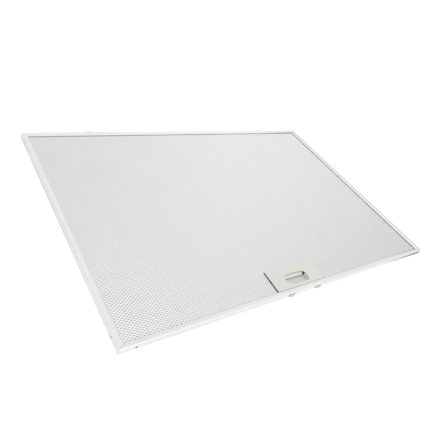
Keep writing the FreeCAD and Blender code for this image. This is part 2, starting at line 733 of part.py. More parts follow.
def rear_lug(label, side):
    """A stub through the back wall with a plate behind it inside the channel."""
    body = new_body(label)
    half = lug_width / 2
    inside = frame_gauge + key_gap
    stub = block(body, label + "_stub", rectangle(-half, half, -lug_reach, inside), lug_low, lug_high)
    tips = [(-half, -lug_reach), (half, -lug_reach)]
    round_edges(body, label + "_tip", stub, tips, lug_round)
    plate_side = lug_plate_width / 2
    block(body, label + "_plate", rectangle(-plate_side, plate_side, inside, key_inner), lug_low, lug_high)
    place(body, lug_place * side, back_wall, 0, 180)
    return body


rear_lugs = [rear_lug("rear_lug_left", -1), rear_lug("rear_lug_right", 1)]

doc.recompute()

nodes = [frame_front, frame_back, frame_left, frame_right, face_mesh, rear_mesh, latch_housing, latch_slider,
         latch_rear_cover]
nodes = nodes + corner_keys + filter_layers + latch_springs + rear_lugs

for thing in doc.Objects:
    if "Invalid" in thing.State or "Error" in thing.State:
        raise RuntimeError("%s did not recompute: %s" % (thing.Label, thing.State))
os.makedirs("parts", exist_ok=True)
for node in nodes:
    if node.Shape.isNull() or not node.Shape.isValid():
        raise RuntimeError("%s has no valid shape" % node.Label)
    if len(node.Shape.Solids) != 1:
        raise RuntimeError("%s has %d solids" % (node.Label, len(node.Shape.Solids)))
    node.Shape.exportStep("parts/%s.step" % node.Label)
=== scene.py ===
import math

import bpy
import numpy as np
from bpy.props import FloatProperty, FloatVectorProperty, IntProperty, PointerProperty
from bpy.types import NodeSocket, Operator, Panel, PropertyGroup
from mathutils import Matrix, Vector


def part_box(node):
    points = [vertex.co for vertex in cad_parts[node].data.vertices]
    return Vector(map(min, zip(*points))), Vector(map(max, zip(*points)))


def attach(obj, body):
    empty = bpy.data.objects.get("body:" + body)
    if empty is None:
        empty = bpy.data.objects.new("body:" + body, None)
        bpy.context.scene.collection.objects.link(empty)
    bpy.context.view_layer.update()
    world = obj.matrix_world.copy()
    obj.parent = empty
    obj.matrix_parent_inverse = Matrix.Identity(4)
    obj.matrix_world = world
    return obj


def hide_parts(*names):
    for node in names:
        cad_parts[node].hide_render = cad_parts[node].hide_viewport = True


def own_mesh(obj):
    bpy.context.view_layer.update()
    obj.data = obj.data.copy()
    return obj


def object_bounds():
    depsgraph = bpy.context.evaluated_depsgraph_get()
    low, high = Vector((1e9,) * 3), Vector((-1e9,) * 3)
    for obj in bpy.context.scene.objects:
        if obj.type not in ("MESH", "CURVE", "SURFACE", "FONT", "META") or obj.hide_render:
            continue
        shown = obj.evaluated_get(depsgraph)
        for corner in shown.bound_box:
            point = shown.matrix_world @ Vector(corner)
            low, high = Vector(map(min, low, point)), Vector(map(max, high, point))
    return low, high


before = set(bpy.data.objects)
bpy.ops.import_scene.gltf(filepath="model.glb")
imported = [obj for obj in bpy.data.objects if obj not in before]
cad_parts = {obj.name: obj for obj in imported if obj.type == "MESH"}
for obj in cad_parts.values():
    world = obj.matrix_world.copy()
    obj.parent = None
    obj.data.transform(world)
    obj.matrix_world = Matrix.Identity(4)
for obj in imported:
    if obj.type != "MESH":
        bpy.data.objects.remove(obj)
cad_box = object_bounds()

bl_info = {
    "name": "Cooker hood grease filter",
    "version": (1, 0, 0),
    "blender": (4, 5, 0),
    "location": "View3D > Sidebar > Filter",
    "description": "Dresses a mesh grease filter and lights it for a picture",
    "category": "Object",
}

LONG_CHANNELS = ("frame_front", "frame_back")
SHORT_CHANNELS = ("frame_left", "frame_right")
CORNER_KEYS = ("corner_key_front_left", "corner_key_front_right",
               "corner_key_back_left", "corner_key_back_right")
FOILS = ("filter_layer_1", "filter_layer_2", "filter_layer_3", "filter_layer_4")
SPRINGS = ("latch_spring_left", "latch_spring_right")
LUGS = ("rear_lug_left", "rear_lug_right")
LAMPS = ("front", "upper", "right", "back")

QUARTER_TURN = math.pi / 2
FULL_TURN = 2 * math.pi
WHITE = (1.0, 1.0, 1.0, 1.0)

# Points round the spring wire, and rings of them in one turn of the spring.
WIRE_SIDES = 10
STEPS_A_TURN = 28
# Least distance between two points of a strand where a cut edge crowds them, as a part of half the long way.
LEAST_STEP = 0.02

# Waves of a noise in a metre along X, Y and Z.
STREAK_WAVES = (14.0, 900.0, 900.0)
CLOUD_WAVES = (22.0, 22.0, 22.0)
MARK_WAVES = (260.0, 150.0, 150.0)
WEAR_WAVES = (180.0, 180.0, 180.0)
PLASTIC_WAVES = (70.0, 70.0, 70.0)
# The range that holds most values of a noise.
NOISE_LOW = 0.3
NOISE_HIGH = 0.7

# Shares of the base colour, and roughness, at the two ends of a finish's change of tone.
ROLLED_TONES = (0.965, 1.035)
ROLLED_ROUGHNESS = (0.46, 0.58)
STRAND_TONES = (0.965, 1.02)
STRAND_ROUGHNESS = (0.42, 0.54)
FOIL_TONES = (0.90, 1.08)
FOIL_ROUGHNESS = (0.70, 0.85)
PLASTIC_TONES = (0.97, 1.03)
PLASTIC_ROUGHNESS = (0.50, 0.60)
WIRE_TONES = (0.9, 1.1)
WIRE_ROUGHNESS = (0.25, 0.38)
# Shares of the base colour on worn folds and in handling marks, and how strongly marks and rubbed edges show.
WORN_TONE = 1.06
MARK_TONE = 0.90
MARK_WEIGHT = 0.5
RUB_WEIGHT = 0.4
# Depth of the rubbed edges below the top of a moulding.
RUB_DEPTH = 0.0004
# Most that a part of a finish's colour may reach.
PALEST = 0.97

# Distance of the floor below the filter, and lines of points across it.
FLOOR_GAP = 0.0002
FLOOR_LINES = 5
# Width of the camera's frame in millimetres, and where its view begins and ends in metres.
SENSOR_WIDTH = 36.0
NEAR_CLIP = 0.01
FAR_CLIP = 50.0


def length(label, meaning, default):
    """A length in metres that shows in the sidebar."""
    return FloatProperty(name=label, description=meaning, default=default, unit="LENGTH", precision=5)


def share(label, meaning, default):
    """A plain number from nothing to one."""
    return FloatProperty(name=label, description=meaning, default=default, min=0.0, max=1.0, subtype="FACTOR")


def colour(label, meaning, default):
    """A colour in linear light."""
    return FloatVectorProperty(name=label, description=meaning, default=default, size=3, min=0.0, max=1.0,
                               subtype="COLOR")


def place(label, meaning, default):
    """A place in metres."""
    return FloatVectorProperty(name=label, description=meaning, default=default, size=3, unit="LENGTH",
                               subtype="TRANSLATION")


def power(label, meaning, default):
    """A lamp's power in watts."""
    return FloatProperty(name=label, description=meaning, default=default, subtype="POWER")


class SheetSizes(PropertyGroup):
    """Sizes of the two expanded sheets."""

    long_way: length("Long way", "Length of one diamond of the face sheet", 0.00467)
    short_way: length("Short way", "Height of one diamond of the face sheet", 0.00305)
    rear_long_way: length("Rear long way", "Length of one diamond of the rear sheet", 0.0060)
    rear_short_way: length("Rear short way", "Height of one diamond of the rear sheet", 0.0040)
    strand_share: share("Strand", "Strand width as a part of the row spacing", 0.76)
    bond_share: share("Bond", "Length of the joint of two strands, as a part of half the long way", 0.50)
    lean: length("Lean", "Height that a strand's top face gains across its width", 0.00026)
    slit_near: length("Near slit", "Open slit beside the latch plate at the handle edge", 0.0017)
    slit_far: length("Far slit", "Open slit round the far end of the latch plate", 0.0003)


class LatchSizes(PropertyGroup):
    """Where the painted shade in the gaps round the slider lies, and how its springs are wound."""

    lip_half: length("Lip", "Half the width of the lip with its play", 0.0156)
    lip_place: length("Lip place", "Tip of the lip from the tips of the tongues", 0.0234)
    # Edges of the painted shade under the plate's rim and of the painted shadow on the floor under the lip.
    rim_place: length("Rim", "Edge of the film under the rim, from the tips of the tongues", 0.0279)
    floor_place: length("Floor", "Edge of the film on the floor, from the tips of the tongues", 0.0241)
    plate_skin: length("Skin", "Depth below the top of the plate at which the gaps begin", 0.0006)
    cover_skin: length("Cover skin", "Height over the underside of the rear cover at which they end", 0.0004)
    wire: length("Wire", "Radius of the spring wire", 0.00026)
    turns: IntProperty(name="Turns", description="Turns of a spring", default=4, min=1)


class EdgeLines(PropertyGroup):
    """Painted shade and a painted dark reflection along the edges of the channels. A tone is the share of the
    metal's colour that is left.
    """

    # Painted shade along the inner edge of each flange, where the edge and the mesh beside it lie in shade.
    long_edge_shade: share("Long edge shade", "Tone of the cut edge of a long flange", 0.72)
    short_edge_shade: share("Short edge shade", "Tone of the cut edge of a short flange", 0.45)
    # Painted shadow along the foot of the walls, where they meet the floor.
    end_foot_shadow: share("End foot shadow", "Tone of the foot at the right end of a long wall", 0.24)
    end_start: length("End start", "Place along X at which that line begins", 0.150)
    end_full: length("End full", "Place along X at which it is full", 0.232)
    end_height: length("End height", "Height at which it is gone", 0.0077)
    side_foot_shadow: share("Side foot shadow", "Tone of the foot of a short wall", 0.56)
    side_start: length("Side start", "Place along Y at which that line begins to grow", -0.10)
    side_full: length("Side full", "Place along Y at which it is full", 0.04)
    side_least: share("Side least", "Weight of that line before it grows", 0.15)
    side_height: length("Side height", "Height at which it is gone", 0.0036)
    # Painted dark reflection on the right upper fold of the short channels.
    fold: share("Right fold reflection", "Tone of the right upper fold", 0.55)
    fold_width: length("Fold width", "Width of that line with its fade", 0.0028)


class FinishColours(PropertyGroup):
    """Colours of the materials."""

    frame_metal: colour("Frame", "Folded aluminium channel", (0.73, 0.73, 0.738))
    mesh_metal: colour("Expanded sheet", "Expanded aluminium", (0.745, 0.742, 0.748))
    foil_metal: colour("Foil", "Crimped foil inside", (0.72, 0.72, 0.725))
    key_metal: colour("Corner keys", "Angle pieces in the corners", (0.66, 0.66, 0.66))
    lug_metal: colour("Lugs", "Stubs on the back edge", (0.76, 0.76, 0.76))
    plate_plastic: colour("Plate", "Latch housing", (0.81, 0.81, 0.77))
    slider_plastic: colour("Slider", "Latch slider", (0.83, 0.83, 0.80))
    cover_plastic: colour("Cover", "Rear cover of the latch", (0.79, 0.785, 0.745))
    spring_steel: colour("Springs", "Drawn wire", (0.62, 0.62, 0.62))
    # Painted shade in the gaps round the slider, and a painted shadow on the floor under the lip.
    gap_shade_tone: share("Film", "Share of the plastic's colour that is left under the film in the gaps", 0.16)
    under_lip_shade_tone: share("Under lip shade", "The same on the floor under the lip", 0.35)


class StageValues(PropertyGroup):
    """Camera, lamps, light tent and floor."""

    eye: place("Eye", "Where the camera stands", (-0.361827, -0.316167, 0.321297))
    turn: FloatVectorProperty(name="Turn", description="How the camera is turned", size=3, subtype="EULER",
                              default=tuple(math.radians(a) for a in (50.23223, -18.98150, -32.37155)))
    lens: FloatProperty(name="Lens", description="Focal length in mm for a 36 mm frame", default=34.319)
    tent: FloatProperty(name="Tent", description="Soft light from all round", default=0.66, min=0.0)
    front_power: power("Front lamp", "Lamp before the handle edge", 4.7)
    front_place: place("Front place", "Where that lamp stands", (-0.20, -1.10, 0.35))
    front_width: length("Front width", "Side of that lamp", 1.8)
    upper_power: power("Upper lamp", "Lamp over the face", 1.7)
    upper_place: place("Upper place", "Where that lamp stands", (-0.15, -0.35, 1.20))
    upper_width: length("Upper width", "Side of that lamp", 1.2)
    right_power: power("Right lamp", "Lamp high on the right", 0.84)
    right_place: place("Right place", "Where that lamp stands", (0.78, 0.25, 0.95))
    right_width: length("Right width", "Side of that lamp", 0.8)
    back_power: power("Back lamp", "Lamp beyond the far edge", 0.5)
    back_place: place("Back place", "Where that lamp stands", (0.55, 0.95, 0.55))
    back_width: length("Back width", "Side of that lamp", 0.8)
    floor_half: length("Floor", "Half the side of the floor", 9.0)
    floor_colour: colour("Floor colour", "Pale floor", (0.80, 0.80, 0.80))
    floor_lift: share("Floor lift", "Light that the floor adds for the eye and for mirrors", 0.52)


def add(tree, kind, values=None, **settings):
    """Add a node, set its settings and the resting values of its named inputs."""
    node = tree.nodes.new(kind)
    for key, value in settings.items():
        setattr(node, key, value)
    for key, value in (values or {}).items():
        node.inputs[key].default_value = value
    return node


def feed(tree, socket, value):
    """Give an input a plain value, or a link from another node."""
    if isinstance(value, NodeSocket):
        tree.links.new(value, socket)
    else:
        socket.default_value = value


def new_group(name, numbers, outputs):
    """A node group that reads a vector and named numbers, with the sockets inside its two ends."""
    tree = bpy.data.node_groups.new(name, "ShaderNodeTree")
    tree.interface.new_socket("Vector", in_out="INPUT", socket_type="NodeSocketVector")
    for label, value in numbers.items():
        socket = tree.interface.new_socket(label, in_out="INPUT", socket_type="NodeSocketFloat")
        socket.default_value = value
    for label in outputs:
        tree.interface.new_socket(label, in_out="OUTPUT", socket_type="NodeSocketFloat")
    start = tree.nodes.new("NodeGroupInput")
    end = tree.nodes.new("NodeGroupOutput")
    return tree, start.outputs, end.inputs


def shared(name):
    """Build a node group at its first use, and hand out the same one after that."""
    def wrap(build):
        def group():
            if name not in bpy.data.node_groups:
                build(name)
            return bpy.data.node_groups[name]
        return group
    return wrap


def axes(tree, vector):
    """The three parts of a vector, by the names X, Y and Z."""
    split = add(tree, "ShaderNodeSeparateXYZ")
    tree.links.new(vector, split.inputs["Vector"])
    return split.outputs


def stretched_noise(tree, vector, waves, detail):
    """Noise on coordinates that are scaled apart, so that its spots turn into streaks."""
    mapping = add(tree, "ShaderNodeMapping", {"Scale": waves})
    noise = add(tree, "ShaderNodeTexNoise", {"Scale": 1.0, "Detail": detail, "Roughness": 0.55})
    tree.links.new(vector, mapping.inputs["Vector"])
    tree.links.new(mapping.outputs["Vector"], noise.inputs["Vector"])
    return noise.outputs["Fac"]


def remap(tree, value, low, high, to_low=0.0, to_high=1.0):
    """Carry a value from one range to another and stop at its ends."""
    node = add(tree, "ShaderNodeMapRange")
    limits = {"Value": value, "From Min": low, "From Max": high, "To Min": to_low, "To Max": to_high}
    for key, limit in limits.items():
        feed(tree, node.inputs[key], limit)
    return node.outputs["Result"]


def combine(tree, operation, first, second):
    """Join two values, or a value and a number, by arithmetic."""
    node = add(tree, "ShaderNodeMath", operation=operation)
    feed(tree, node.inputs[0], first)
    feed(tree, node.inputs[1], second)
    return node.outputs["Value"]


def absolute(tree, value):
    """A value without its sign."""
    node = add(tree, "ShaderNodeMath", operation="ABSOLUTE")
    tree.links.new(value, node.inputs[0])
    return node.outputs["Value"]


def part_past(tree, value, limit, width):
    """How far a value lies past a limit, as a part of a width."""
    return combine(tree, "DIVIDE", combine(tree, "SUBTRACT", value, limit), width)


def rising(tree, value, limit, width):
    """Nothing before a limit, one when the width lies behind it."""
    return remap(tree, part_past(tree, value, limit, width), 0.0, 1.0)


def falling(tree, part):
    """One up to half of a part, then down to nothing at its end."""
    return remap(tree, part, 0.5, 1.0, 1.0, 0.0)


@shared("Rolled sheet")
def rolled_sheet_group(name):
    """Rolled metal: streaks along X, slow clouds, and sparse handling marks."""
    tree, given, result = new_group(name, {}, ("Tone", "Marks", "Height"))
    streak_share = 0.45
    cloud_height = 3.0
    streaks = stretched_noise(tree, given["Vector"], STREAK_WAVES, detail=4.0)
    clouds = stretched_noise(tree, given["Vector"], CLOUD_WAVES, detail=2.0)
    marks = stretched_noise(tree, given["Vector"], MARK_WAVES, detail=5.0)
    tone = combine(tree, "ADD", combine(tree, "MULTIPLY", streaks, streak_share),
                   combine(tree, "MULTIPLY", clouds, 1.0 - streak_share))
    height = combine(tree, "ADD", streaks, combine(tree, "MULTIPLY", clouds, cloud_height))
    tree.links.new(tone, result["Tone"])
    tree.links.new(remap(tree, marks, low=0.60, high=0.74), result["Marks"])
    tree.links.new(height, result["Height"])


@shared("Fold wear")
def fold_wear_group(name):
    """Burnish on the upper fold: rises from nothing to one over the last part of the height."""
    tree, given, result = new_group(name, {"Level": 0.008, "Reach": 0.0012}, ("Wear",))
    part = part_past(tree, given["Level"], axes(tree, given["Vector"])["Z"], given["Reach"])
    breakup = stretched_noise(tree, given["Vector"], WEAR_WAVES, detail=3.0)
    wear = combine(tree, "MULTIPLY", remap(tree, part, 0.0, 1.0, 1.0, 0.0),
                   remap(tree, breakup, NOISE_LOW, NOISE_HIGH))
    tree.links.new(wear, result["Wear"])


@shared("Dull foot")
def painted_foot_shadow_group(name):
    """Painted shadow at the foot of a wall, where it meets the floor, from just over the lower level up to
    the reach.

    It grows along Y, from its least weight at the near place to one at the far place.
    """
    numbers = {"Level": 0.0, "Reach": 0.0036, "Near": 0.0, "Far": 1.0, "Least": 0.0}
    tree, given, result = new_group(name, numbers, ("Foot",))
    parts = axes(tree, given["Vector"])
    part = part_past(tree, parts["Z"], given["Level"], given["Reach"])
    foot = combine(tree, "MULTIPLY", remap(tree, part, low=0.03, high=0.10), falling(tree, part))
    along = remap(tree, parts["Y"], given["Near"], given["Far"], given["Least"], 1.0)
    tree.links.new(combine(tree, "MULTIPLY", foot, along), result["Foot"])


@shared("Dull fold")
def painted_fold_reflection_group(name):
    """Painted dark reflection on the right upper fold: one past a place along X, on the last part of the
    height.
    """
    numbers = {"Place": 1.0, "Level": 0.008, "Fade": 0.0005, "Depth": 0.0016}
    tree, given, result = new_group(name, numbers, ("Fold",))
    parts = axes(tree, given["Vector"])
    outside = rising(tree, parts["X"], given["Place"], given["Fade"])
    upper = falling(tree, part_past(tree, given["Level"], parts["Z"], given["Depth"]))
    tree.links.new(combine(tree, "MULTIPLY", outside, upper), result["Fold"])


@shared("Cut edge")
def painted_edge_shade_group(name):
    """Painted shade along a flange's sheared inner edge: one on the side towards the middle, nothing a little
    further out.
    """
    tree, given, result = new_group(name, {"Reach": 0.0, "Width": 0.0002}, ("Edge",))
    across = absolute(tree, axes(tree, given["Vector"])["Y"])
    part = part_past(tree, across, given["Reach"], given["Width"])
    tree.links.new(falling(tree, part), result["Edge"])


@shared("Moulded grain")
def moulded_grain_group(name):
    """Moulded plastic: fine even grain, and a slow change of tone."""
    tree, given, result = new_group(name, {"Grain": 1600.0}, ("Tone", "Height"))
    grain = add(tree, "ShaderNodeTexNoise", {"Detail": 2.0, "Roughness": 0.6})
    tree.links.new(given["Vector"], grain.inputs["Vector"])
    tree.links.new(given["Grain"], grain.inputs["Scale"])
    clouds = stretched_noise(tree, given["Vector"], PLASTIC_WAVES, detail=3.0)
    tree.links.new(remap(tree, clouds, low=0.25, high=0.75), result["Tone"])
    tree.links.new(grain.outputs["Fac"], result["Height"])


@shared("Gap film")
def painted_gap_shade_group(name):
    """Painted shade in the gaps round the slider: one past the rim or beside the lip, between two levels."""
    numbers = {"Middle": 0.0, "Lip half": 0.015, "Lip": 0.0, "Rim": 0.0, "Base": 0.0, "Level": 0.007,
               "Fade": 0.0003}
    tree, given, result = new_group(name, numbers, ("Film",))
    parts = axes(tree, given["Vector"])
    fade = given["Fade"]
    from_middle = absolute(tree, combine(tree, "SUBTRACT", parts["X"], given["Middle"]))
    beside = combine(tree, "MULTIPLY", rising(tree, from_middle, given["Lip half"], fade),
                     rising(tree, parts["Y"], given["Lip"], fade))
    inside = combine(tree, "MAXIMUM", beside, rising(tree, parts["Y"], given["Rim"], fade))
    within = combine(tree, "MULTIPLY", rising(tree, given["Level"], parts["Z"], fade),
                     rising(tree, parts["Z"], given["Base"], fade))
    tree.links.new(combine(tree, "MULTIPLY", inside, within), result["Film"])


@shared("Foil creases")
def foil_creases_group(name):
    """Crumpled foil: facets between creases, with a tone for each facet."""
    tree, given, result = new_group(name, {"Scale": 320.0}, ("Tone", "Height"))
    facets = add(tree, "ShaderNodeTexVoronoi", {"Randomness": 1.0})
    tree.links.new(given["Vector"], facets.inputs["Vector"])
    tree.links.new(given["Scale"], facets.inputs["Scale"])
    tone = add(tree, "ShaderNodeSeparateColor")
    tree.links.new(facets.outputs["Color"], tone.inputs["Color"])
    tree.links.new(tone.outputs["Red"], result["Tone"])
    tree.links.new(facets.outputs["Distance"], result["Height"])


def new_material(name):
    """A material with an empty Principled shader, and its object coordinates."""
    material = bpy.data.materials.new(name)
    material.use_nodes = True
    tree = material.node_tree
    tree.nodes.clear()
    shader = add(tree, "ShaderNodeBsdfPrincipled")
    output = add(tree, "ShaderNodeOutputMaterial")
    tree.links.new(shader.outputs["BSDF"], output.inputs["Surface"])
    coordinates = add(tree, "ShaderNodeTexCoord")
    return material, tree, shader, coordinates.outputs["Object"]


def place_group(tree, group, vector, values=None):
    """Put a shared effect into a material, with this material's own values, and give its outputs."""
    node = add(tree, "ShaderNodeGroup", node_tree=group)
    tree.links.new(vector, node.inputs["Vector"])
    for key, value in (values or {}).items():
        node.inputs[key].default_value = value
    return node.outputs


def shade(base, factor):
    """A colour made lighter or darker by one factor, kept below full white."""
    return tuple(min(PALEST, part * factor) for part in base) + (1.0,)


def mixed(tree, mask, first, second):
    """A colour that runs from the first to the second as the mask runs from nothing to one."""
    mix = add(tree, "ShaderNodeMix", data_type="RGBA")
    colours = [socket for socket in mix.inputs if socket.type == "RGBA"]
    feed(tree, colours[0], first)
    feed(tree, colours[1], second)
    tree.links.new(mask, mix.inputs["Factor"])
    return [socket for socket in mix.outputs if socket.type == "RGBA"][0]


def toned(tree, mask, base, tones):
    """The base colour times the first tone where the mask is nothing, times the second where it is one."""
    return mixed(tree, mask, shade(base, tones[0]), shade(base, tones[1]))


def bump(tree, shader, height, strength, distance):
    """Let a height field tilt the shader's normals."""
    node = add(tree, "ShaderNodeBump", {"Strength": strength, "Distance": distance})
    tree.links.new(height, node.inputs["Height"])
    tree.links.new(node.outputs["Normal"], shader.inputs["Normal"])


def turned(tree, vector, turn, shift=0.0):
    """Coordinates turned round Z and moved along Y."""
    mapping = add(tree, "ShaderNodeMapping", {"Location": (0.0, shift, 0.0), "Rotation": (0.0, 0.0, turn)})
    tree.links.new(vector, mapping.inputs["Vector"])
    return mapping.outputs["Vector"]


def rolled_metal(name, base, levels, turn=0.0, middle=0.0, foot_turn=0.0, cut=None, foot=None, fold=None,
                 edge_shade_tone=1.0, foot_shadow_tone=1.0, fold_reflection_tone=1.0):
    """Rolled aluminium with streaks along one direction, wear on the upper fold, faint marks, painted shade
    along the flange's inner edge and the wall's foot, and a painted dark reflection on the right upper fold.

    The levels are the foot and the top of the wall. The turn and the middle lay the streaks and the flange's
    cut edge along a channel, and the foot's turn lays the foot's run along Y. Cut, foot and fold hold values
    for the node groups of the painted edge shade, foot shadow and fold reflection, and each tone is the share
    of the base colour that is left there.
    """
    material, tree, shader, vector = new_material(name)
    shader.inputs["Metallic"].default_value = 1.0
    laid = turned(tree, vector, turn, -middle)
    sheet = place_group(tree, rolled_sheet_group(), laid)
    wear = place_group(tree, fold_wear_group(), vector, {"Level": levels[1]})
    plain = toned(tree, remap(tree, sheet["Tone"], low=0.32, high=0.68), base, ROLLED_TONES)
    worn = mixed(tree, wear["Wear"], plain, shade(base, WORN_TONE))
    marks = combine(tree, "MULTIPLY", sheet["Marks"], MARK_WEIGHT)
    marked = mixed(tree, marks, worn, shade(base, MARK_TONE))
    # Painted shade along the flange's inner edge.
    edge = place_group(tree, painted_edge_shade_group(), laid, cut)
    edge_shaded = mixed(tree, edge["Edge"], marked, shade(base, edge_shade_tone))
    # Painted shadow along the foot of the wall.
    run = turned(tree, vector, foot_turn)
    line = place_group(tree, painted_foot_shadow_group(), run, dict(foot or {}, Level=levels[0]))
    foot_shadowed = mixed(tree, line["Foot"], edge_shaded, shade(base, foot_shadow_tone))
    # Painted dark reflection on the right upper fold.
    rim = place_group(tree, painted_fold_reflection_group(), vector, dict(fold or {}, Level=levels[1]))
    fold_reflected = mixed(tree, rim["Fold"], foot_shadowed, shade(base, fold_reflection_tone))
    tree.links.new(fold_reflected, shader.inputs["Base Color"])
    rough = remap(tree, sheet["Tone"], NOISE_LOW, NOISE_HIGH, *ROLLED_ROUGHNESS)
    tree.links.new(rough, shader.inputs["Roughness"])
    bump(tree, shader, sheet["Height"], strength=0.25, distance=0.00004)
    return material


def streaked_metal(name, base, tones, roughness, metallic):
    """Bare metal whose colour and roughness follow fine streaks and slow clouds."""
    material, tree, shader, vector = new_material(name)
    shader.inputs["Metallic"].default_value = metallic
    tone = remap(tree, place_group(tree, rolled_sheet_group(), vector)["Tone"], NOISE_LOW, NOISE_HIGH)
    tree.links.new(toned(tree, tone, base, tones), shader.inputs["Base Color"])
    tree.links.new(remap(tree, tone, 0.0, 1.0, *roughness), shader.inputs["Roughness"])
    return material


def foil_metal(name, base):
    """Crimped foil, crumpled so finely that it scatters light much as a dull surface does."""
    material, tree, shader, vector = new_material(name)
    shader.inputs["Metallic"].default_value = 0.15
    creases = place_group(tree, foil_creases_group(), vector)
    tree.links.new(toned(tree, creases["Tone"], base, FOIL_TONES), shader.inputs["Base Color"])
    tree.links.new(remap(tree, creases["Tone"], 0.0, 1.0, *FOIL_ROUGHNESS), shader.inputs["Roughness"])
    bump(tree, shader, creases["Height"], strength=0.5, distance=0.0004)
    return material


def moulded_plastic(name, base, level, gaps, gap_shade_tone):
    """Matt moulded plastic with fine grain, paler rubbed edges at its top level and painted shade in its
    gaps.
    """
    material, tree, shader, vector = new_material(name)
    shader.inputs["Specular IOR Level"].default_value = 0.4
    grain = place_group(tree, moulded_grain_group(), vector)
    wear = place_group(tree, fold_wear_group(), vector, {"Level": level, "Reach": RUB_DEPTH})
    plain = toned(tree, grain["Tone"], base, PLASTIC_TONES)
    rubbed = mixed(tree, combine(tree, "MULTIPLY", wear["Wear"], RUB_WEIGHT), plain, shade(base, WORN_TONE))
    # Painted shade in the gaps round the slider and on the floor under its lip.
    painted_shade = place_group(tree, painted_gap_shade_group(), vector, gaps)
    gap_shaded = mixed(tree, painted_shade["Film"], rubbed, shade(base, gap_shade_tone))
    tree.links.new(gap_shaded, shader.inputs["Base Color"])
    tree.links.new(remap(tree, grain["Tone"], 0.0, 1.0, *PLASTIC_ROUGHNESS), shader.inputs["Roughness"])
    bump(tree, shader, grain["Height"], strength=0.25, distance=0.00006)
    return material


def dress(names, material):
    """Give CAD nodes their finish."""
    for name in names:
        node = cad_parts[name]
        if not node.material_slots:
            raise RuntimeError("%s has no material slot" % name)
        for slot in node.material_slots:
            slot.material = material


def strand_block(span, level, long_way, short_way, sizes, lean, floor_level):
    """Zigzag strands of an expanded sheet between two cut edges.

    Fold k lies at k times half the long way, strand j at (j + 1/2) times half the short way. A strand swings
    to and fro by one swing from its middle line, against its neighbours. It runs level over the bond, half of
    it on each side of a fold, and straight from one bond to the next, so that two strands are joined at each
    second fold and leave a blunt diamond open between. The section is a triangle: a leaning top face and a
    keel under it. Each cut edge is a straight line that may run aslant, and the strands end on it.
    """
    left_edge, right_edge, y_low, y_high = span
    half = long_way / 2
    row = short_way / 2
    width = row * sizes.strand_share
    swing = (row - width) / 2
    strands = np.arange(math.ceil(y_low / row - 0.5), math.floor(y_high / row - 0.5) + 1)
    middle = (strands + 0.5) * row
    left = np.interp(middle, (y_low, y_high), left_edge)[:, None]
    right = np.interp(middle, (y_low, y_high), right_edge)[:, None]
    folds = np.arange(math.floor(left.min() / half), math.ceil(right.max() / half) + 1)
    stations = (folds[:, None] + sizes.bond_share / 2 * np.array([-1.0, 1.0])).ravel()
    order = np.arange(len(stations))
    least = LEAST_STEP * half
    x = np.maximum(stations * half, left + least * order)
    x = np.minimum(x, right - least * order[::-1])
    phase = np.mod(x / half + strands[:, None], 2.0)
    wave = (2.0 * np.abs(phase - 1.0) - 1.0) / (1.0 - sizes.bond_share)
    y = middle[:, None] + swing * np.clip(wave, -1.0, 1.0)
    keel = width / 4
    section = np.array([(-width / 2, level - lean), (width / 2, level), (keel, floor_level)])
    count = x.shape + (3,)
    points = np.zeros(count + (3,))
    points[..., 0] = x[..., None]
    points[..., 1] = y[..., None] + section[:, 0]
    points[..., 2] = section[:, 1]
    index = np.arange(points.size // 3).reshape(count)
    after = np.roll(index, -1, axis=2)
    quads = np.stack([index[:, :-1], index[:, 1:], after[:, 1:], after[:, :-1]], axis=-1).reshape(-1, 4)
    ends = np.concatenate([index[:, 0, ::-1], index[:, -1]])
    return points.reshape(-1, 3), quads, ends


def filter_piece(name, points, faces, material, node):
    """A closed mesh that rides on the filter in place of a CAD node."""
    mesh = bpy.data.meshes.new(name)
    mesh.from_pydata(points, [], faces)
    mesh.materials.append(material)
    if mesh.validate():
        raise RuntimeError("%s has faulty faces" % name)
    piece = bpy.data.objects.new(name, mesh)
    bpy.context.scene.collection.objects.link(piece)
    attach(piece, "filter")
    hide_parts(node)
    return piece


def strand_piece(name, blocks, material, node):
    """One piece from several blocks of strands, in place of a CAD sheet."""
    points, faces, shift = [], [], 0
    for block_points, quads, ends in blocks:
        points.append(block_points)
        faces.extend((quads + shift).tolist())
        faces.extend((ends + shift).tolist())
        shift += len(block_points)
    return filter_piece(name, np.concatenate(points), faces, material, node)


